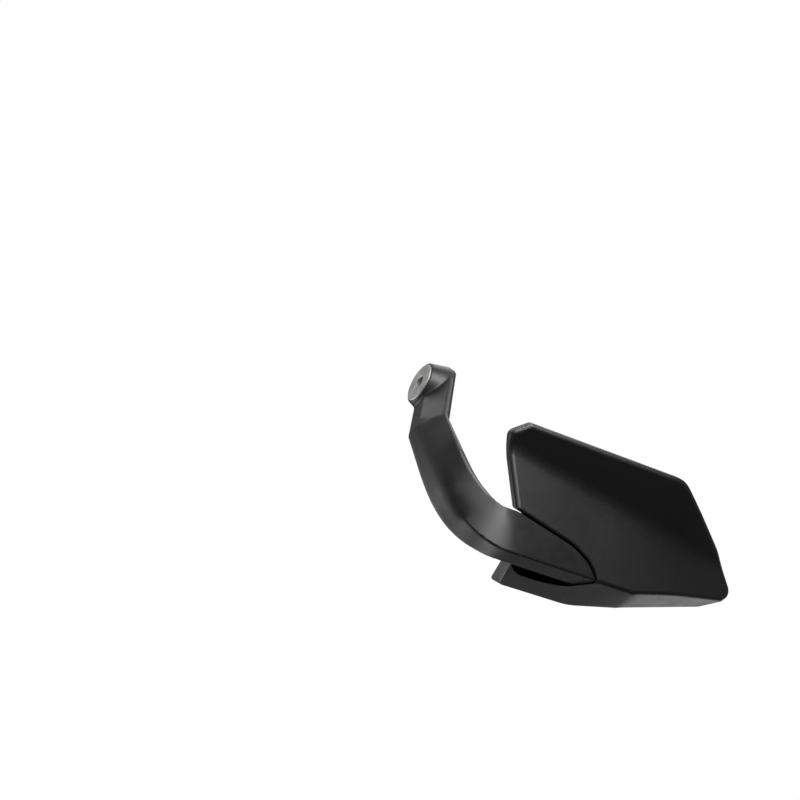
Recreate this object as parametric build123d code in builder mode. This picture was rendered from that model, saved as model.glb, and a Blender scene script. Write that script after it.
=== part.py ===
"""Motorcycle hand guard: a folded plastic shield on an angle-section arm with a bolt eye.

The guard of the rider's right hand. Frame: the origin is the middle of the collar's outer
face on the axis of the bolt bore, at the handlebar end. X runs along the bore towards the
shield's tip, -Y is forward and +Z is up. Millimetres.
"""

import os
from math import atan, cos, degrees, radians, sin, sqrt, tan

from build123d import *

# Main sizes
guard_length = 239.0           # along X, from the collar's face to the shield's tip
guard_reach = 159.5            # forward, from the bore's axis to the shield's lower crease
guard_height = 118.5           # from the shield's top corner to its lowest edge

# The points below are drawn at these sizes and stretch with the sizes above
drawn_length = 239.0
drawn_reach = 159.5
drawn_height = 118.5

# Shield, front face
valley_spot = (40.3, -111.8, -7.3)         # on the fold between lip and main face, arm end
valley_radius = 10.0
lip_lean = 14.0                # the lip leans forward, degrees from upright
main_lean = 38.7               # the main face leans back, degrees from upright
near_sweep = 9.65              # plan angle of the arm half
tip_sweep = 28.8               # plan angle of the tip
bend_start = 143.5             # where the plan begins to sweep, along X
bend_radius = 155.0
crease_spot = (51.4, -159.5, -68.4)
low_near_slope = (0.60, -1.83)             # lower face, rise of Y with X and with Z
tip_crease_spot = (196.3, -101.1, -37.0)
low_tip_slope = (1.25, -1.64)
crease_radius = 2.5

# Shield, outline seen from the front: X, Z and the radius of the corner
outer_corners = [
    (42.25, 12.6, 4),
    (160.0, 29.5, 20),
    (219.7, -2.3, 60),
    (239.2, -21.6, 5),
    (221.0, -38.5, 8),
    (165.0, -62.8, 80),
    (133.25, -79.3, 40),
    (79.0, -89.0, 6),
]
left_corner = (32.3, 1.2, 5)

# Shield, the notch that takes the arm, its lower side hollowed to a crescent slot
notch_low_corners = [
    (68.3, -75.2, 0),
    (80.0, -77.4, 30),
    (98.0, -74.4, 60),
    (115.0, -69.2, 25),
]
notch_high_corners = [
    (128.8, -57.0, 3),
    (117.9, -47.9, 14),
    (103.7, -43.4, 40),
    (54.6, -40.9, 0),
]

# Arm, where the outline of its flat end runs out past the curl
curl_low_corner = (0.0, -98.0, 0)
curl_high_corner = (0.0, -38.0, 0)

# Shield, walls
wall = 3.0
skirt = 9.0                    # depth of the edge all round
rim_bevel = 2.5                # along the outer rim and the notch
floor_short = 8.0              # the notch's floor stops this far inside the notch's open side

# Arm
arm_thick = 7.0
arm_bevel = 1.5                # along the rim and the lower edge
arm_recess = 1.0               # the arm lies this far below the shield's face
seat_gap = 0.3                 # between the arm and the floor of the notch
side_gap = 0.6                 # between the arm and the sides of the notch
tongue_width = 33.0            # upper leg of the flat end
tongue_lip = 19.0              # lower leg of the flat end
tongue_start = 8.0             # where the flat end meets the curl, along the crease

# Arm, crease, rim and lower edge at each section of the curl
curl_spots = [
    ((29.9, -136.5, -64.5), (35.1, -125.7, -39.5), (33, -126, -77)),
    ((14.3, -113, -51.5), (23.5, -113.5, -33), (16, -105.5, -68.2)),
    ((6.2, -89.3, -39.8), (14, -95, -23.5), (7.5, -82, -56.7)),
    ((-2.5, -47.6, -22.3), (6.7, -58.2, -9), (-2, -39.6, -35.6)),
]

# Eye and collar
eye_radius = 14.3              # round the flange, the eye flares from here
eye_flare = 16.5               # degrees
eye_face = 0.3                 # along X, the flange stands proud by this much
eye_depth = 15.0               # along X, the eye's side towards the shield
flange_ring = 1.1              # width of the eye's face outside the flange
flange_thick = 1.5
bore_radius = 4.5
sleeve_radius = 6.5
collar_gap = 0.1               # between the collar and the eye
edge_break = 0.4

# Screws that hold the arm to the shield from behind, along the crease and up from it
screw_spots = [(26.0, 19.0), (46.0, 18.2)]
shank_radius = 2.0
head_radius = 3.75
head_height = 2.4
head_taper = 8.0               # degrees
socket_radius = 1.45           # to the corners
socket_depth = 1.4
washer_radius = 4.5
washer_thick = 0.8
washer_bore = 2.2
insert_radius = 2.8
insert_length = 5.5
insert_gap = 0.05              # round the insert and round the screw in it
floor_hole = 2.3
shank_short = 1.0              # the screw ends this far inside the insert

stretch_x = guard_length / drawn_length
stretch_y = guard_reach / drawn_reach
stretch_z = guard_height / drawn_height


def at_size(spot):
    """A drawn point at the guard's own size."""
    return Vector(spot[0] * stretch_x, spot[1] * stretch_y, spot[2] * stretch_z)


# Slopes of the shield's faces at the guard's own size, the leans measured square to the arm half
sweep_turn = radians(near_sweep)
square_stretch = 1 / sqrt((sin(sweep_turn) / stretch_x) ** 2 + (cos(sweep_turn) / stretch_y) ** 2)
tan_lip = tan(radians(lip_lean)) * square_stretch / stretch_z
tan_main = tan(radians(main_lean)) * square_stretch / stretch_z
near_angle = atan(tan(radians(near_sweep)) * stretch_y / stretch_x)
tip_angle = atan(tan(radians(tip_sweep)) * stretch_y / stretch_x)
low_near_normal = Vector(
    low_near_slope[0] * stretch_y / stretch_x, -1, low_near_slope[1] * stretch_y / stretch_z
).normalized()
low_tip_normal = Vector(
    low_tip_slope[0] * stretch_y / stretch_x, -1, low_tip_slope[1] * stretch_y / stretch_z
).normalized()

# The valley runs straight from before the arm end, then bends to the tip
near_dir = Vector(cos(near_angle), sin(near_angle), 0)
forward = Vector(sin(near_angle), -cos(near_angle), 0)
valley_height = at_size(valley_spot).Z
valley_plan = Vector(at_size(valley_spot).X, at_size(valley_spot).Y, 0)
valley_start = valley_plan - near_dir * (guard_length * 0.15)
valley_bend = valley_start + near_dir * ((bend_start * stretch_x - valley_start.X) / near_dir.X)

# The arm's flat end follows the shield's main and lower faces
main_normal = (forward + Vector(0, 0, tan_main)).normalized()
crease_point = at_size(crease_spot)
tip_crease_point = at_size(tip_crease_spot)
crease_dir = low_near_normal.cross(main_normal).normalized()
if crease_dir.X < 0:
    crease_dir = crease_dir * -1
inward_step = (main_normal + low_near_normal) * (1 / (1 + main_normal.dot(low_near_normal)))
arm_crease = crease_point - inward_step * arm_recess
tongue_up = crease_dir.cross(main_normal).normalized()
if tongue_up.Z < 0:
    tongue_up = tongue_up * -1
tongue_down = crease_dir.cross(low_near_normal).normalized()
if tongue_down.Z > 0:
    tongue_down = tongue_down * -1

# Depths below the shield's face
arm_back = arm_recess + arm_thick
floor_front = arm_back + seat_gap
floor_back = floor_front + wall


def front_block(inset):
    """Everything behind the shield's front face, the face moved back by inset."""
    lip_shift = inset * sqrt(1 + tan_lip ** 2)
    main_shift = inset * sqrt(1 + tan_main ** 2)
    rise = (lip_shift - main_shift) / (tan_lip + tan_main)
    valley = (tan_lip * rise - lip_shift, valley_height + rise)
    top = guard_height * 0.4
    bottom = -guard_height * 0.9
    back = -guard_reach * 0.6
    with BuildPart() as block:
        with BuildLine():
            Line(valley_start, valley_bend)
            bend = JernArc(
                valley_bend, near_dir, bend_radius * stretch_x, degrees(tip_angle - near_angle)
            )
            Line(bend @ 1, bend @ 1 + (bend % 1) * guard_length * 0.4)
        with BuildSketch(Plane(valley_start, x_dir=forward, z_dir=-near_dir)) as profile:
            with BuildLine():
                Polyline(
                    (tan_lip * (top - valley_height) - lip_shift, top),
                    valley,
                    (tan_main * (valley_height - bottom) - main_shift, bottom),
                    (back, bottom),
                    (back, top),
                    close=True,
                )
            make_face()
            fillet(profile.vertices().sort_by_distance(valley)[0], valley_radius + inset)
        sweep()
        split(
            bisect_by=Plane(crease_point - low_near_normal * inset, z_dir=low_near_normal),
            keep=Keep.BOTTOM,
        )
        split(
            bisect_by=Plane(tip_crease_point - low_tip_normal * inset, z_dir=low_tip_normal),
            keep=Keep.BOTTOM,
        )
    return block.part


def front_prism(corners, grow):
    """An outline seen from the front, corners rounded, grown all round and run through in depth."""
    with BuildPart() as prism:
        with BuildSketch(Plane.XZ) as outline:
            spots = [(x * stretch_x, z * stretch_z) for x, z, radius in corners]
            with BuildLine():
                Polyline(spots, close=True)
            make_face()
            for spot, (x, z, radius) in zip(spots, corners):
                if radius > 0:
                    fillet(outline.vertices().sort_by_distance(spot)[0], radius)
            if grow != 0:
                offset(amount=grow)
        extrude(amount=guard_reach * 1.2)
    return prism.part


def section_plane(crease, rim, low):
    """Plane of an arm section, X up the upper leg."""
    return Plane(crease, x_dir=rim - crease, z_dir=(rim - crease).cross(low - crease))


def section_corners(crease, rim, low):
    """Corners of an arm section in its plane, from the crease round by the rim."""
    width = (rim - crease).length
    lip = (low - crease).length
    angle = radians((rim - crease).get_angle(low - crease))
    lip_dir = Vector(cos(angle), sin(angle))
    lip_side = Vector(sin(angle), -cos(angle)) * arm_thick
    lip_bevel = lip_side * (arm_bevel / arm_thick)
    return [
        Vector(0, 0),
        Vector(width - arm_bevel, 0),
        Vector(width, arm_bevel),
        Vector(width, arm_thick - arm_bevel),
        Vector(width - arm_bevel, arm_thick),
        Vector(arm_thick * (1 + cos(angle)) / sin(angle), arm_thick),
        lip_dir * (lip - arm_bevel) + lip_side,
        lip_dir * lip + lip_side - lip_bevel,
        lip_dir * lip + lip_bevel,
        lip_dir * (lip - arm_bevel),
    ]


def arm_section(points):
    """Angle section of the arm through its crease, its rim and its lower edge."""
    with BuildSketch(section_plane(*points)) as section:
        with BuildLine():
            Polyline(section_corners(*points), close=True)
        make_face()
    return section.sketch


def arm_station(points):
    """Corners of an arm section in space."""
    plane = section_plane(*points)
    return [plane.from_local_coords(corner) for corner in section_corners(*points)]


def forward_faces(faces):
    """Lip, main face and tip, without the lower faces."""
    return faces.filter_by(lambda f: f.normal_at().Y < -0.3 and f.normal_at().Z > -0.5)


def side_walls(faces):
    """Faces that run straight back from the outline."""
    return faces.filter_by(lambda f: abs(f.normal_at().Y) < 0.05)


def shared_edges(faces, others):
    """Edges where two groups of faces meet."""
    other_edges = others.edges()
    return faces.edges().filter_by(lambda e: e in other_edges)


# Sections of the arm: crease, rim and lower edge of each
tongue_crease = arm_crease + crease_dir * tongue_start
tongue_points = (
    tongue_crease,
    tongue_crease + tongue_up * tongue_width,
    tongue_crease + tongue_down * tongue_lip,
)
curl_points = [tuple(at_size(spot) for spot in spots) for spots in curl_spots]
head_points = (
    Vector(eye_depth * 0.33, -eye_radius * 0.14, eye_radius * 0.07),
    Vector(eye_depth, -eye_radius * 0.31, eye_radius * 1.33),
    Vector(eye_depth * 0.43, eye_radius * 0.35, -eye_radius * 1.05),
)

# The flat end fills the notch and runs out of it towards the curl
notch_corners = notch_low_corners + notch_high_corners
shield_corners = outer_corners + notch_corners + [left_corner]
tongue_corners = (
    [curl_low_corner] + notch_low_corners[-1:] + notch_high_corners[:-1] + [curl_high_corner]
)
tongue_length = guard_length * 0.36
tongue_prism = front_prism(tongue_corners, -side_gap)
with BuildPart() as tongue:
    add(arm_section(tongue_points))
    extrude(dir=crease_dir, amount=tongue_length)
    add(tongue_prism, mode=Mode.INTERSECT)

# Long edges of the curl, each through the same corner of every section
stations = [arm_station(points) for points in [tongue_points] + curl_points]
spans = [0.0]
for before, after in zip(stations, stations[1:]):
    spans.append(spans[-1] + (after[0] - before[0]).length)
long_edges = []
for run in zip(*stations):
    ends = [crease_dir * -1, (run[-1] - run[-2]).normalized()]
    long_edges.append(Edge.make_spline(run, tangents=ends, parameters=spans))
curl_faces = [Face.make_surface_from_curves(a, b) for a, b in zip(long_edges, long_edges[1:])]
curl_faces.append(Face.make_surface_from_curves(long_edges[-1], long_edges[0]))
curl_faces.append(Face(Wire.make_polygon(stations[0], close=True)))
curl_faces.append(Face(Wire.make_polygon(stations[-1], close=True)))

# Planes over the screws on the shield's face, pointing to the back
screw_planes = [
    Plane(
        crease_point + crease_dir * along + tongue_up * across,
        x_dir=crease_dir,
        z_dir=main_normal * -1,
    )
    for along, across in screw_spots
]

with BuildPart() as head:
    add(arm_section(curl_points[-1]))
    add(arm_section(head_points))
    loft(ruled=True)

with BuildPart() as arm:
    add(Solid(Shell(curl_faces)))
    add(head.part)
    add(tongue.part)
    with BuildSketch(Plane.YZ.offset(eye_face)):
        Circle(eye_radius)
    extrude(amount=eye_depth - eye_face, taper=-eye_flare)
    with BuildSketch(Plane.YZ.offset(flange_thick)):
        Circle(eye_radius - flange_ring + collar_gap)
    extrude(amount=-eye_depth, mode=Mode.SUBTRACT)
    with BuildSketch(Plane.YZ):
        Circle(sleeve_radius + collar_gap)
    extrude(amount=eye_depth * 2, mode=Mode.SUBTRACT)
    for plane in screw_planes:
        with BuildSketch(plane.offset(arm_back)):
            Circle(insert_radius + insert_gap)
        extrude(amount=-insert_length, mode=Mode.SUBTRACT)

shield_prism = front_prism(shield_corners, 0)
hollow_prism = front_prism(shield_corners, -wall)
outer_block = front_block(0)
inner_block = front_block(wall)
skirt_block = front_block(skirt)
floor_block = front_block(floor_front)
tray_block = front_block(floor_back)

# The floor stops short of the side where the arm comes in
side_top = at_size((notch_corners[-1][0], 0, notch_corners[-1][1]))
side_low = at_size((notch_corners[0][0], 0, notch_corners[0][1]))
floor_side = Plane(
    side_top + Vector(floor_short, 0, 0),
    z_dir=Vector(side_top.Z - side_low.Z, 0, side_low.X - side_top.X),
)
with BuildPart() as notch_floor:
    add(front_prism(notch_corners, wall))
    add(floor_block, mode=Mode.INTERSECT)
    add(tray_block, mode=Mode.SUBTRACT)
    split(bisect_by=floor_side, keep=Keep.TOP)

with BuildPart() as hollow:
    add(hollow_prism)
    add(inner_block, mode=Mode.INTERSECT)

with BuildPart() as shield:
    add(shield_prism)
    add(outer_block, mode=Mode.INTERSECT)
    add(skirt_block, mode=Mode.SUBTRACT)
    rim = shared_edges(forward_faces(shield.faces()), side_walls(shield.faces()))
    chamfer(rim, rim_bevel)
    low_faces = shield.faces().filter_by(lambda f: f.normal_at().Z < -0.5 and f.normal_at().Y < -0.3)
    creases = shared_edges(forward_faces(shield.faces()), low_faces)
    fillet(creases, crease_radius)
    add(hollow.part, mode=Mode.SUBTRACT)
    add(notch_floor.part)
    for plane in screw_planes:
        with BuildSketch(plane.offset(floor_front - seat_gap)):
            Circle(floor_hole)
        extrude(amount=wall + 2 * seat_gap, mode=Mode.SUBTRACT)

with BuildPart() as mount_collar:
    with BuildSketch(Plane.YZ):
        Circle(eye_radius - flange_ring)
        Circle(bore_radius, mode=Mode.SUBTRACT)
    extrude(amount=flange_thick)
    with BuildSketch(Plane.YZ.offset(flange_thick)):
        Circle(sleeve_radius)
        Circle(bore_radius, mode=Mode.SUBTRACT)
    extrude(amount=eye_depth - flange_thick)
    chamfer(mount_collar.edges().filter_by(GeomType.CIRCLE).group_by(Axis.X)[0], edge_break)

with BuildPart() as threaded_inserts:
    for plane in screw_planes:
        with BuildSketch(plane.offset(arm_back)):
            Circle(insert_radius)
            Circle(shank_radius + insert_gap, mode=Mode.SUBTRACT)
        extrude(amount=-insert_length)

with BuildPart() as screw_washers:
    for plane in screw_planes:
        with BuildSketch(plane.offset(floor_back)):
            Circle(washer_radius)
            Circle(washer_bore, mode=Mode.SUBTRACT)
        extrude(amount=washer_thick)

head_start = floor_back + washer_thick
shank_end = arm_back - insert_length + shank_short
with BuildPart() as shield_screws:
    for plane in screw_planes:
        with BuildSketch(plane.offset(head_start)):
            Circle(head_radius)
        extrude(amount=head_height, taper=head_taper)
        with BuildSketch(plane.offset(shank_end)):
            Circle(shank_radius)
        extrude(amount=head_start - shank_end)
        with BuildSketch(plane.offset(head_start + head_height)):
            RegularPolygon(socket_radius, 6)
        extrude(amount=-socket_depth, mode=Mode.SUBTRACT)

os.makedirs("parts", exist_ok=True)
shield.part.label = "shield"
export_step(shield.part, "parts/shield.step")
arm.part.label = "arm"
export_step(arm.part, "parts/arm.step")
mount_collar.part.label = "mount_collar"
export_step(mount_collar.part, "parts/mount_collar.step")
threaded_inserts.part.label = "threaded_inserts"
export_step(threaded_inserts.part, "parts/threaded_inserts.step")
screw_washers.part.label = "screw_washers"
export_step(screw_washers.part, "parts/screw_washers.step")
shield_screws.part.label = "shield_screws"
export_step(shield_screws.part, "parts/shield_screws.step")
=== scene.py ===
# %% [markdown]
# A motorcycle hand guard, dressed for a studio picture.
# The guard keeps wind, branches and stones off the rider's fingers. A folded black plastic
# shield stands in front of the lever, and a curved arm carries it from the end of the handlebar.
# The solids come from the CAD model in their real size, in metres. This script gives each of
# them its finish, rounds the moulded edges, and sets up the floor, the light and the camera.

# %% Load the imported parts
import math

import bmesh
import bpy
import numpy
from mathutils import Matrix, Vector


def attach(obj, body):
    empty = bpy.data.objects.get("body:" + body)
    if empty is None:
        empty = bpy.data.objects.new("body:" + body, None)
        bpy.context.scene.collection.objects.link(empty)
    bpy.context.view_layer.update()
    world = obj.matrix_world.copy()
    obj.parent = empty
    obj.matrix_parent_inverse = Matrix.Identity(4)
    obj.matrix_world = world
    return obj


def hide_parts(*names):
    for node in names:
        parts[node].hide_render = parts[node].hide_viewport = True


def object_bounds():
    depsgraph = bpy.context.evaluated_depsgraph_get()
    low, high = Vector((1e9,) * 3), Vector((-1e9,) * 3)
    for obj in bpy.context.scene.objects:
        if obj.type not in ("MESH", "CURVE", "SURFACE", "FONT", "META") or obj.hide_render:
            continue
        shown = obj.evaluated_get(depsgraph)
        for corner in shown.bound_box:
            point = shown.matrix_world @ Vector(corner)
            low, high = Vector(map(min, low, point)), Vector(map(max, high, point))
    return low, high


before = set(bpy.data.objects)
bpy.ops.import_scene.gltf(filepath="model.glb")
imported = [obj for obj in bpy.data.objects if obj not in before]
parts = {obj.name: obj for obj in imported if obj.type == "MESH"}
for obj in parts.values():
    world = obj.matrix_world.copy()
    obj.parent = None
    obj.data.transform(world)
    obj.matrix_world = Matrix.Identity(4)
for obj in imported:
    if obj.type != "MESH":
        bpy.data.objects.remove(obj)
cad_low, cad_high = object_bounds()
print("parts:", sorted(parts))
print("CAD box in mm:", [round(1000 * (h - l), 1) for l, h in zip(cad_low, cad_high)])

# %% [markdown]
# A moulded part has no knife edges. The tool that cut the mould leaves a small radius along every
# rim, and that radius is what catches a thin line of light. The CAD solids keep plain bevels, so
# the shield and the arm each get a skin: a copy of the solid's mesh, with its edges rolled over,
# that shows in place of the solid. Two helpers serve both skins.


# %% Two helpers for skins
MM = 0.001  # metres in a millimetre


def closed_copy(part_name):
    """The mesh of a CAD part in its place, its loose faces joined to one closed shape."""
    weld_mm = 0.002
    part = parts[part_name]
    shape = bmesh.new()
    shape.from_mesh(part.data)
    bmesh.ops.transform(shape, matrix=part.matrix_world, verts=shape.verts)
    bmesh.ops.remove_doubles(shape, verts=shape.verts, dist=weld_mm * MM)
    return shape


def add_skin(part_name, mesh):
    """An object that shows in place of a CAD part."""
    mesh.shade_smooth()
    skin = bpy.data.objects.new(part_name + "_skin", mesh)
    bpy.context.scene.collection.objects.link(skin)
    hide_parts(part_name)
    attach(skin, "root")
    return skin


# %% [markdown]
# Below the arm the shield has a slot in the shape of a crescent. On the real guard the corner at
# its open end comes up to the arm and closes it. In the solid that corner stays a little low, so
# the skin draws it up. Every point near the corner rises, the nearest ones most, and the move
# fades to nothing a few millimetres away. Flat patches are then merged into large faces, because
# the rims are easier to roll when no stray edge runs into them.

# %% Copy of the shield with the slot's corner drawn up
shape = closed_copy("shield")
corner = Vector((68.3, 0, -75.2)) * MM
corner_reach = 6 * MM
corner_lift = 2.2 * MM
lifted = 0
for vert in shape.verts:
    away = math.hypot(vert.co.x - corner.x, vert.co.z - corner.z)
    vert.co.z += corner_lift * max(0, 1 - away / corner_reach)
    lifted += away < corner_reach
flat_within = math.radians(1.0)
bmesh.ops.dissolve_limit(
    shape, angle_limit=flat_within, verts=shape.verts, edges=shape.edges
)
print("shield:", lifted, "points drawn up,", len(shape.faces), "faces after the flats are merged")

# %% [markdown]
# The shield has flat and gently bent faces, so a bevel modifier is enough to roll its rims. The
# modifier reads a weight on each edge. Edges that turn outwards sharply have it. In four places
# the edges are so close together that rolled ones would cross, so those keep plain edges.
# Edges that turn inwards are marked sharp, which keeps the shading crisp in the folds.

# %% Weights for the shield's rims
rolled_from = 24.0  # degrees that an edge turns outwards
crisp_from = -20.0  # degrees, below zero is inwards
# Low and high corners, in millimetres, of boxes round the places that are too tight to roll
tight_boxes = [
    ((118, -160, -66), (136, 20, -48)),  # closed end of the notch
    ((65, -141, -60), (73, -131, -49)),  # open end of the notch's floor
    ((71, -134, -81), (78, -127, -73)),  # back of the slot's first corner
    ((229, -58, -28), (240, -45, -15)),  # back of the tip
]
weight = shape.edges.layers.float.new("bevel_weight_edge")
for edge in shape.edges:
    turn = math.degrees(edge.calc_face_angle_signed(0))
    middle = (edge.verts[0].co + edge.verts[1].co) / (2 * MM)
    tight = any(
        all(low < at < high for low, at, high in zip(box_low, middle, box_high))
        for box_low, box_high in tight_boxes
    )
    edge[weight] = 1.0 if turn > rolled_from and not tight else 0.0
    edge.smooth = turn > crisp_from
print("shield:", sum(edge[weight] > 0 for edge in shape.edges), "edges to roll")

# %% [markdown]
# Two modifiers finish the skin. The first rolls the weighted edges to a radius of about a
# millimetre in four steps. The second lets the large faces set the shading next to the rims,
# so the flats stay flat and only the rolled strip bends the light.

# %% Skin of the shield with rolled rims
rim_mm = 0.95
mesh = bpy.data.meshes.new("shield_skin")
shape.to_mesh(mesh)
shape.free()
shield_skin = add_skin("shield", mesh)
rims = shield_skin.modifiers.new("rolled_rims", "BEVEL")
rims.limit_method = "WEIGHT"
rims.width = rim_mm * MM
rims.segments = 4
rims.use_clamp_overlap = False
shade = shield_skin.modifiers.new("shade_by_area", "WEIGHTED_NORMAL")
shade.keep_sharp = True
print("shield skin:", len(mesh.polygons), "faces before the rims are rolled")

# %% [markdown]
# The arm curls, and a highlight that slides along a curl shows every uneven facet. A bevel can't
# mend that, so the arm's skin is made another way. A remesh modifier first turns the solid into
# small even squares, and the points are then read into arrays to be smoothed.

# %% Even squares for the arm
square_mm = 0.75
shape = closed_copy("arm")
mesh = bpy.data.meshes.new("arm_rough")
shape.to_mesh(mesh)
shape.free()
rough = bpy.data.objects.new("arm_rough", mesh)
bpy.context.scene.collection.objects.link(rough)
squares = rough.modifiers.new("even_squares", "REMESH")
squares.mode = "VOXEL"
squares.voxel_size = square_mm * MM
even = bpy.data.meshes.new_from_object(rough.evaluated_get(bpy.context.evaluated_depsgraph_get()))
bpy.data.objects.remove(rough)

points = numpy.empty(len(even.vertices) * 3)
even.vertices.foreach_get("co", points)
points = points.reshape(-1, 3) / MM
pairs = numpy.empty(len(even.edges) * 2, dtype=numpy.int64)
even.edges.foreach_get("vertices", pairs)
pairs = pairs.reshape(-1, 2)
print("arm:", len(points), "points in squares of", square_mm, "mm")

# %% [markdown]
# Relaxing moves each point towards the middle of its neighbours, again and again. A few rounds
# everywhere roll the arm's rims by about a millimetre. Many more rounds, only near the long
# crease, make that turn as soft as on the moulded arm. The share says how much a point takes
# part: it is one near the crease and fades to nothing a few millimetres away.


# %% Rims and crease of the arm, relaxed
def relax(points, pairs, share, rounds):
    """Move each point half way to the middle of its neighbours by its share, so many times."""
    near = pairs[(share[pairs[:, 0]] > 0) | (share[pairs[:, 1]] > 0)]
    count = numpy.bincount(near.ravel(), minlength=len(points)).clip(1)
    for _ in range(rounds):
        for axis in range(3):
            values = points[:, axis]
            total = numpy.bincount(near[:, 0], values[near[:, 1]], len(points))
            total += numpy.bincount(near[:, 1], values[near[:, 0]], len(points))
            points[:, axis] = values + 0.5 * share * (total / count - values)


def share_near(points, path, reach, fade):
    """One near a path of straight runs, down to zero at the reach, over the width of the fade."""
    away = numpy.full(len(points), numpy.inf)
    for start, end in zip(path, path[1:]):
        start, run = numpy.array(start), numpy.subtract(end, start)
        part = ((points - start) @ run / (run @ run)).clip(0, 1)
        away = numpy.minimum(away, numpy.linalg.norm(points - start - part[:, None] * run, axis=1))
    return ((reach - away) / fade).clip(0, 1)


rim_rounds = 6
crease_rounds = 150
crease = [(-2, -50, -23), (6.2, -89.3, -39.8), (14.3, -113, -51.5), (24, -128, -60)]
crease_share = share_near(points, crease, reach=7, fade=4)
before = points.copy()
relax(points, pairs, numpy.ones(len(points)), rim_rounds)
relax(points, pairs, crease_share, crease_rounds)
even.vertices.foreach_set("co", (points * MM).ravel())
even.update()
print("arm: points moved by up to", round(numpy.linalg.norm(points - before, axis=1).max(), 2), "mm")

# %% [markdown]
# Where the curl runs into the flat end the shape is right but turns quickly, and a highlight there
# would be a hard stripe. So the points stay and only the shading normals are relaxed, over pairs of
# points whose normals already agree. That spreads the highlight and leaves the rims crisp.

# %% Soft shading where the curl meets the flat end
elbow_rounds = 500
calm_within = math.radians(4)
elbow = [(56, -152, -62), (47, -133, -44)]
normals = numpy.empty(len(points) * 3)
even.vertices.foreach_get("normal", normals)
normals = normals.reshape(-1, 3)
agree = (normals[pairs[:, 0]] * normals[pairs[:, 1]]).sum(1)
calm = pairs[agree > math.cos(calm_within)]
relax(normals, calm, share_near(points, elbow, reach=34, fade=12), elbow_rounds)
arm_skin = add_skin("arm", even)
even.normals_split_custom_set_from_vertices(normals)
print("arm skin:", len(even.polygons), "faces, normals relaxed over", len(calm), "calm pairs")

# %% [markdown]
# Colours are written as sRGB hex values, the way a paint chart or a picture editor gives them.
# Blender's shaders work in linear light, so one function does the change.
# Another small function adds a shader node, sets its values and joins its inputs, so that each
# material below reads as a short list of what feeds what. The last one puts a finished material
# on what shows: the skin where a part has one, and otherwise the part itself.


# %% Helpers for materials
def linear(hex_value):
    """An sRGB hex colour as linear red, green, blue and alpha."""
    channels = [int(hex_value[i:i + 2], 16) / 255 for i in (1, 3, 5)]
    return [c / 12.92 if c <= 0.04045 else ((c + 0.055) / 1.055) ** 2.4 for c in channels] + [1.0]


def add_node(tree, kind, settings=None, links=None):
    """A node of that kind with its settings on it and its inputs linked."""
    node = tree.nodes.new(kind)
    for name, value in (settings or {}).items():
        if isinstance(name, int) or name in node.inputs:
            node.inputs[name].default_value = value
        else:
            setattr(node, name, value)
    for name, socket in (links or {}).items():
        tree.links.new(socket, node.inputs[name])
    return node


def new_material(name):
    """An empty material, and its node tree to fill."""
    material = bpy.data.materials.new(name)
    material.use_nodes = True
    material.node_tree.nodes.clear()
    return material, material.node_tree


skins = {"arm": arm_skin, "shield": shield_skin}


def dress(part_name, material):
    """Give a part, or the skin that shows in its place, its material."""
    mesh = skins.get(part_name, parts[part_name]).data
    mesh.materials.clear()
    mesh.materials.append(material)
    print(part_name, "is", material.name)


# %% [markdown]
# The shield is black polypropylene from an injection mould with a spark-eroded grain.
# The grain makes the face dull and even: it scatters the light, so a wide soft glow follows the
# lamp over each fold, and there is no sharp mirror image anywhere. A picture of a grain would only
# fit one size, so it is made with noise, which drives both the tone and a small bump.
# A real grain of this kind is about 0.2 mm from top to top. That is finer than a pixel here, so
# it is drawn at 1.2 mm. A second, slow noise makes some areas a little shinier than others, as
# handling does.

# %% Moulded grained polypropylene for the shield
shield_plastic, tree = new_material("moulded_grained_polypropylene")
place = add_node(tree, "ShaderNodeTexCoord").outputs["Object"]
grain_mm = 1.2
grain = add_node(
    tree, "ShaderNodeTexNoise",
    {"Scale": 1 / (grain_mm * MM), "Detail": 3.0, "Roughness": 0.6},
    {"Vector": place},
)
handling_mm = 35.0
handling = add_node(
    tree, "ShaderNodeTexNoise",
    {"Scale": 1 / (handling_mm * MM), "Detail": 4.0, "Roughness": 0.55},
    {"Vector": place},
)
tone = add_node(tree, "ShaderNodeValToRGB", links={"Fac": grain.outputs["Fac"]})
tone.color_ramp.elements[0].position = 0.30
tone.color_ramp.elements[0].color = linear("#101011")
tone.color_ramp.elements[1].position = 0.72
tone.color_ramp.elements[1].color = linear("#1a1a1b")
dullness = add_node(
    tree, "ShaderNodeMapRange",
    {"From Min": 0.3, "From Max": 0.7, "To Min": 0.42, "To Max": 0.54},
    {"Value": handling.outputs["Fac"]},
)
grain_depth_mm = 0.2
relief = add_node(
    tree, "ShaderNodeBump",
    {"Strength": 0.9, "Distance": grain_depth_mm * MM},
    {"Height": grain.outputs["Fac"]},
)
surface = add_node(
    tree, "ShaderNodeBsdfPrincipled",
    {"IOR": 1.49},
    {
        "Base Color": tone.outputs["Color"],
        "Roughness": dullness.outputs["Result"],
        "Normal": relief.outputs["Normal"],
    },
)
add_node(tree, "ShaderNodeOutputMaterial", links={"Surface": surface.outputs[0]})
dress("shield", shield_plastic)

# %% [markdown]
# The arm carries the load, so it is nylon with short glass fibres in it. The mould is smoother
# there, so the arm looks a little silkier than the shield. The melt leaves slow streaks of tone,
# and the fibre ends break the skin in fine pits that swallow part of the gloss, so the specular
# level is below the usual half. A fibre is about 0.01 mm thick and 0.3 mm long, far too fine for
# a pixel, so the pits are drawn at 0.7 mm.

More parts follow.
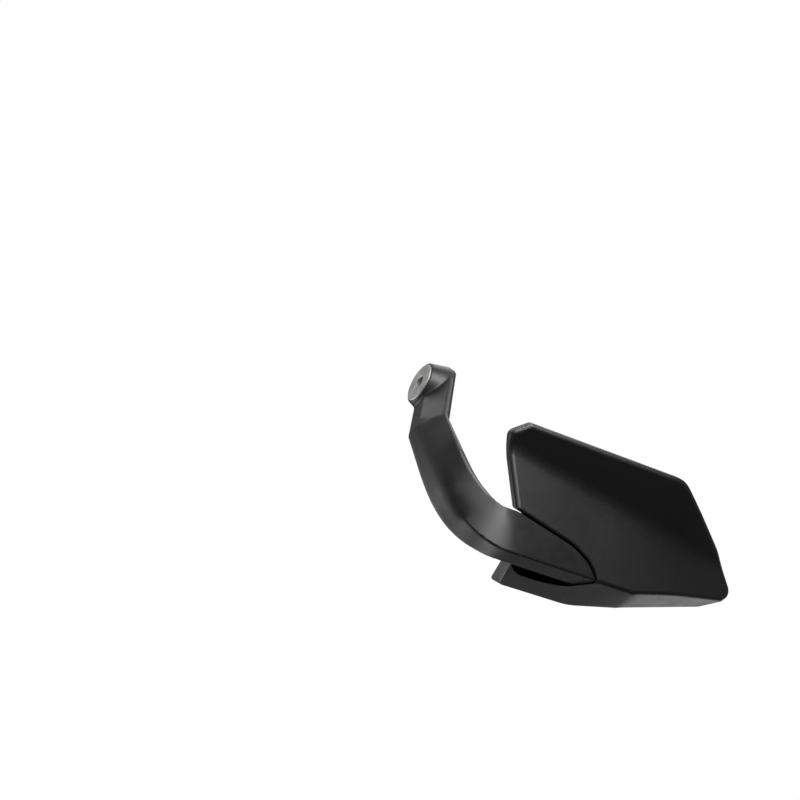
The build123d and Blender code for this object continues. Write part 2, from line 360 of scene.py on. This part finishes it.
# %% Moulded glass-filled nylon for the arm
arm_plastic, tree = new_material("moulded_glass_filled_nylon")
place = add_node(tree, "ShaderNodeTexCoord").outputs["Object"]
fibre_mm = 0.7
fibre = add_node(
    tree, "ShaderNodeTexNoise",
    {"Scale": 1 / (fibre_mm * MM), "Detail": 2.0, "Roughness": 0.5},
    {"Vector": place},
)
streak_mm = 18.0
streak = add_node(
    tree, "ShaderNodeTexNoise",
    {"Scale": 1 / (streak_mm * MM), "Detail": 5.0, "Roughness": 0.6, "Distortion": 0.8},
    {"Vector": place},
)
tone = add_node(tree, "ShaderNodeValToRGB", links={"Fac": streak.outputs["Fac"]})
tone.color_ramp.elements[0].position = 0.25
tone.color_ramp.elements[0].color = linear("#0f0f10")
tone.color_ramp.elements[1].position = 0.75
tone.color_ramp.elements[1].color = linear("#171718")
dullness = add_node(
    tree, "ShaderNodeMapRange",
    {"From Min": 0.3, "From Max": 0.7, "To Min": 0.40, "To Max": 0.50},
    {"Value": streak.outputs["Fac"]},
)
pit_depth_mm = 0.08
relief = add_node(
    tree, "ShaderNodeBump",
    {"Strength": 0.2, "Distance": pit_depth_mm * MM},
    {"Height": fibre.outputs["Fac"]},
)
surface = add_node(
    tree, "ShaderNodeBsdfPrincipled",
    {"IOR": 1.53, "Specular IOR Level": 0.36},
    {
        "Base Color": tone.outputs["Color"],
        "Roughness": dullness.outputs["Result"],
        "Normal": relief.outputs["Normal"],
    },
)
add_node(tree, "ShaderNodeOutputMaterial", links={"Surface": surface.outputs[0]})
dress("arm", arm_plastic)

# %% [markdown]
# The collar in the arm's eye is turned from aluminium and left as it comes, so it has gone a
# little grey and dull, in clouds of about 6 mm. The lathe tool leaves fine rings, which spread each
# highlight into a soft fan across the face. Real rings lie about 0.15 mm apart, which is finer
# than a pixel, so they are drawn at 0.8 mm. A wave texture makes them, round the bore's axis,
# which is the frame's X axis. Blender's wave turns by 20 radians in each unit of its scale, and
# the scale is worked out from that.

# %% Turned aluminium for the collar
collar_metal, tree = new_material("turned_aluminium")
place = add_node(tree, "ShaderNodeTexCoord").outputs["Object"]
ring_mm = 0.8
wave_turn = 20
rings = add_node(
    tree, "ShaderNodeTexWave",
    {
        "wave_type": "RINGS",
        "rings_direction": "X",
        "Scale": 2 * math.pi / (wave_turn * ring_mm * MM),
        "Distortion": 0.6,
        "Detail": 2.0,
        "Detail Scale": 1.5,
    },
    {"Vector": place},
)
cloud_mm = 6.0
cloud = add_node(
    tree, "ShaderNodeTexNoise",
    {"Scale": 1 / (cloud_mm * MM), "Detail": 4.0},
    {"Vector": place},
)
tone = add_node(tree, "ShaderNodeValToRGB", links={"Fac": cloud.outputs["Fac"]})
tone.color_ramp.elements[0].position = 0.3
tone.color_ramp.elements[0].color = linear("#9c9c9a")
tone.color_ramp.elements[1].position = 0.7
tone.color_ramp.elements[1].color = linear("#b8b8b5")
dullness = add_node(
    tree, "ShaderNodeMapRange",
    {"To Min": 0.52, "To Max": 0.64},
    {"Value": cloud.outputs["Fac"]},
)
ring_depth_mm = 0.03
relief = add_node(
    tree, "ShaderNodeBump",
    {"Strength": 0.25, "Distance": ring_depth_mm * MM},
    {"Height": rings.outputs["Fac"]},
)
surface = add_node(
    tree, "ShaderNodeBsdfPrincipled",
    {"Metallic": 1.0},
    {
        "Base Color": tone.outputs["Color"],
        "Roughness": dullness.outputs["Result"],
        "Normal": relief.outputs["Normal"],
    },
)
add_node(tree, "ShaderNodeOutputMaterial", links={"Surface": surface.outputs[0]})
dress("mount_collar", collar_metal)

# %% [markdown]
# Three kinds of small hardware hold the arm to the shield from behind: screws of steel with a
# black oxide skin, which looks deep and slightly oily, washers of steel with a thin bright zinc
# coat, and inserts of turned brass. They are small, so one recipe serves all three: a base colour
# that drifts a little over patches of 1.5 mm, and a roughness that drifts with it.


# %% Steel and brass for the fasteners
def fastener_metal(name, dark, light, smooth, dull, patch_mm):
    """Metal for a small fastener: two tones in patches, smooth and dull places with them."""
    patch_depth_mm = 0.02
    material, tree = new_material(name)
    place = add_node(tree, "ShaderNodeTexCoord").outputs["Object"]
    patch = add_node(
        tree, "ShaderNodeTexNoise",
        {"Scale": 1 / (patch_mm * MM), "Detail": 4.0},
        {"Vector": place},
    )
    tone = add_node(tree, "ShaderNodeValToRGB", links={"Fac": patch.outputs["Fac"]})
    tone.color_ramp.elements[0].position = 0.3
    tone.color_ramp.elements[0].color = linear(dark)
    tone.color_ramp.elements[1].position = 0.7
    tone.color_ramp.elements[1].color = linear(light)
    dullness = add_node(
        tree, "ShaderNodeMapRange",
        {"To Min": smooth, "To Max": dull},
        {"Value": patch.outputs["Fac"]},
    )
    relief = add_node(
        tree, "ShaderNodeBump",
        {"Strength": 0.15, "Distance": patch_depth_mm * MM},
        {"Height": patch.outputs["Fac"]},
    )
    surface = add_node(
        tree, "ShaderNodeBsdfPrincipled",
        {"Metallic": 1.0},
        {
            "Base Color": tone.outputs["Color"],
            "Roughness": dullness.outputs["Result"],
            "Normal": relief.outputs["Normal"],
        },
    )
    add_node(tree, "ShaderNodeOutputMaterial", links={"Surface": surface.outputs[0]})
    return material


dress("shield_screws", fastener_metal("black_oxide_steel", "#2a2a2c", "#3a3a3d", 0.30, 0.45, 1.5))
dress("screw_washers", fastener_metal("zinc_plated_steel", "#b9bdc2", "#d2d5d9", 0.22, 0.38, 1.5))
dress("threaded_inserts", fastener_metal("turned_brass", "#b08a3c", "#cba558", 0.25, 0.40, 1.5))

# %% [markdown]
# The floor is a plain pale sheet far below the guard, because a guard hangs from a handlebar and
# touches no ground. It is painted matt white and lit from within, as a product table is, so it
# stays white in the picture without a lamp of its own. Black plastic would pick up that glow from
# below and lose its form, so the sheet is hidden from the guard's reflections and shading.
# A roller leaves wide, faint bands in such paint, and a slow noise of 400 mm stands for them.

# %% Pale floor
floor_drop = 0.45
floor_size = 30.0
bpy.ops.mesh.primitive_plane_add(size=floor_size, location=(0, 0, cad_low.z - floor_drop))
floor = bpy.context.object
floor.name = "floor"
floor_paint, tree = new_material("matt_white_paint")
place = add_node(tree, "ShaderNodeTexCoord").outputs["Object"]
roller_mm = 400.0
roller = add_node(
    tree, "ShaderNodeTexNoise", {"Scale": 1 / (roller_mm * MM), "Detail": 2.0}, {"Vector": place}
)
tone = add_node(tree, "ShaderNodeValToRGB", links={"Fac": roller.outputs["Fac"]})
tone.color_ramp.elements[0].color = linear("#f4f4f4")
tone.color_ramp.elements[1].color = linear("#fafafa")
surface = add_node(
    tree, "ShaderNodeBsdfPrincipled",
    {"Roughness": 0.9, "Emission Color": linear("#ffffff"), "Emission Strength": 0.9},
    {"Base Color": tone.outputs["Color"]},
)
add_node(tree, "ShaderNodeOutputMaterial", links={"Surface": surface.outputs[0]})
floor.data.materials.append(floor_paint)
floor.visible_glossy = False
floor.visible_diffuse = False
print("floor lies", floor_drop, "m below the guard")

# %% [markdown]
# A product picture has a white wall behind the object, but black plastic in a white room turns grey
# all over. A light path node tells the camera's own view from all other light, so there can be two
# surrounds: the camera sees a white wall, and the guard mirrors a dim room. That leaves the
# highlights to the lamps. The standard view keeps white as white.

# %% White surround with a dim room in it
world = bpy.data.worlds.new("studio")
bpy.context.scene.world = world
world.use_nodes = True
tree = world.node_tree
tree.nodes.clear()
path = add_node(tree, "ShaderNodeLightPath")
room_glow = 0.15
room = add_node(
    tree, "ShaderNodeBackground", {"Color": linear("#ffffff"), "Strength": room_glow}
)
wall = add_node(tree, "ShaderNodeBackground", {"Color": linear("#ffffff"), "Strength": 1.0})
both = add_node(
    tree, "ShaderNodeMixShader",
    links={"Fac": path.outputs["Is Camera Ray"], 1: room.outputs[0], 2: wall.outputs[0]},
)
add_node(tree, "ShaderNodeOutputWorld", links={"Surface": both.outputs[0]})
bpy.context.scene.view_settings.view_transform = "Standard"
print("room glows at", room_glow, "of white")

# %% [markdown]
# Black plastic shows its form by what it mirrors, so each lamp is placed where one group of faces
# mirrors it. The soft box above the arm end is the main light: the broad main face and the elbow
# of the arm mirror it, and being close it fades along the face towards the tip. The left card
# lights the arm's lower facets, and the under card goes on with them to the slot. The back card
# lights the round face of the eye and the head of the arm. The low card lights the shield's lower
# face near the tip. The rear box draws the light lines along the upper rims, and lights the back
# of the guard. The lip and the tip mirror none of them and stay dark.
# A lamp's strength is given as its glow, the brightness of its surface, because that is what a
# mirror shows. Watts follow from the glow and the area.


# %% Soft studio light
def soft_lamp(name, at_mm, aim_mm, long_way, size_mm, glow):
    """A flat soft lamp at one point that faces another, as bright as a white card of that glow."""
    data = bpy.data.lights.new(name, "AREA")
    data.shape = "RECTANGLE"
    data.size = size_mm[0] * MM
    data.size_y = size_mm[1] * MM
    data.energy = glow * math.pi * data.size * data.size_y
    lamp = bpy.data.objects.new(name, data)
    out = (Vector(at_mm) - Vector(aim_mm)).normalized()
    across = (Vector(long_way) - out * out.dot(Vector(long_way))).normalized()
    lamp.matrix_world = Matrix((across, out.cross(across), out)).transposed().to_4x4()
    lamp.location = Vector(at_mm) * MM
    lamp.visible_camera = False
    bpy.context.scene.collection.objects.link(lamp)
    print(name, "gives", round(data.energy, 2), "W")


picture_right = (0.82, -0.28, 0.49)
upright = (0, 0, 1)
soft_lamp("soft_box", (-42, -172, 258), (50, -125, -30), picture_right, (300, 200), 13.2)
soft_lamp("left_card", (-350, 245, -370), (10, -105, -50), upright, (460, 460), 2.9)
soft_lamp("back_card", (-220, 480, 200), (5, -30, 0), upright, (300, 300), 1.5)
soft_lamp("rear_box", (170, 420, 380), (110, -60, -20), upright, (350, 350), 3.0)
soft_lamp("low_card", (560, 290, -200), (200, -90, -50), upright, (260, 260), 1.75)
soft_lamp("under_card", (50, 70, -430), (45, -145, -75), upright, (240, 240), 3.4)

# %% [markdown]
# The camera looks at the guard's front from a little to the left of straight on, level with it,
# and is turned about its own axis by 29 degrees, so the guard hangs at a slant in the picture.
# The lens is very long and the camera stands far away, because the photograph shows almost no
# perspective.

# %% Camera at the photograph's angle
turn = math.radians(-19)
roll = math.radians(29.4)
to_camera = Vector((math.sin(turn), -math.cos(turn), 0))
level_right = Vector((math.cos(turn), math.sin(turn), 0))
level_up = Vector((0, 0, 1))
right = level_right * math.cos(roll) + level_up * math.sin(roll)
up = level_up * math.cos(roll) - level_right * math.sin(roll)
look_at = Vector((-24.3, -55.3, -16.25)) * MM
picture_width = 520 * MM
camera_data = bpy.data.cameras.new("camera")
camera_data.sensor_width = 36.0
camera_data.lens = 900.0
camera = bpy.data.objects.new("camera", camera_data)
distance = picture_width * camera_data.lens / camera_data.sensor_width
camera.matrix_world = Matrix(
    (
        (right.x, up.x, to_camera.x, 0),
        (right.y, up.y, to_camera.y, 0),
        (right.z, up.z, to_camera.z, 0),
        (0, 0, 0, 1),
    )
)
camera.location = look_at + to_camera * distance
camera_data.clip_end = 100.0
bpy.context.scene.collection.objects.link(camera)
bpy.context.scene.camera = camera
print("camera stands", round(distance, 2), "m away")
